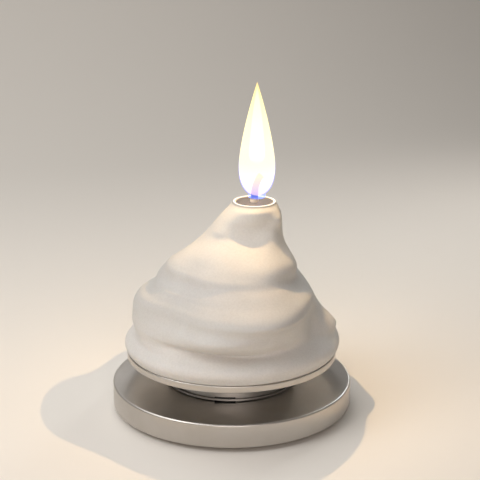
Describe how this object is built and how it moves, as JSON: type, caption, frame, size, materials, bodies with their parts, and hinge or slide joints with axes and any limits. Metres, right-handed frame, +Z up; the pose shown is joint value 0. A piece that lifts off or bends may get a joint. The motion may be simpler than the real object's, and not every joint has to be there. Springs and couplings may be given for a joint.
{
  "type": "melted candle on a stand",
  "caption": "Slumped, leaning pillar candle burning with a tall flame, on a turned metal stand: drip plate, hub and heavy base disc on bumper feet.",
  "frame": {"origin": "on the table, under the middle of the base disc", "axes": "+Z up; the front, with the black index marks, faces -Y; the candle leans towards +X"},
  "size_m": [0.08, 0.08, 0.1102],
  "materials": {
    "satin_steel": "satin, fine turned",
    "fastener_steel": "plain",
    "tinned_steel": "dull tinned",
    "foot_rubber": "clear, slightly milky",
    "black_mark": "matt black filler",
    "wax": "translucent off-white wax",
    "liquid_wax": "molten, glossy",
    "wick_cotton": "braided, charred",
    "flame": "burning gas"
  },
  "bodies": {
    "root": {"base_disc": "satin_steel", "foot_back": "foot_rubber", "foot_front_left": "foot_rubber", "foot_front_right": "foot_rubber", "base_mark": "black_mark", "hub": "satin_steel", "hub_mark": "black_mark", "hub_screw": "fastener_steel", "hub_screw_washer": "fastener_steel", "drip_plate": "satin_steel", "plate_screw_1": "fastener_steel", "plate_screw_2": "fastener_steel", "plate_screw_3": "fastener_steel", "wick_sustainer": "tinned_steel", "wax_body": "wax", "melt_pool": "liquid_wax", "wick": "wick_cotton", "flame": "flame"}
  },
  "joints": []
}
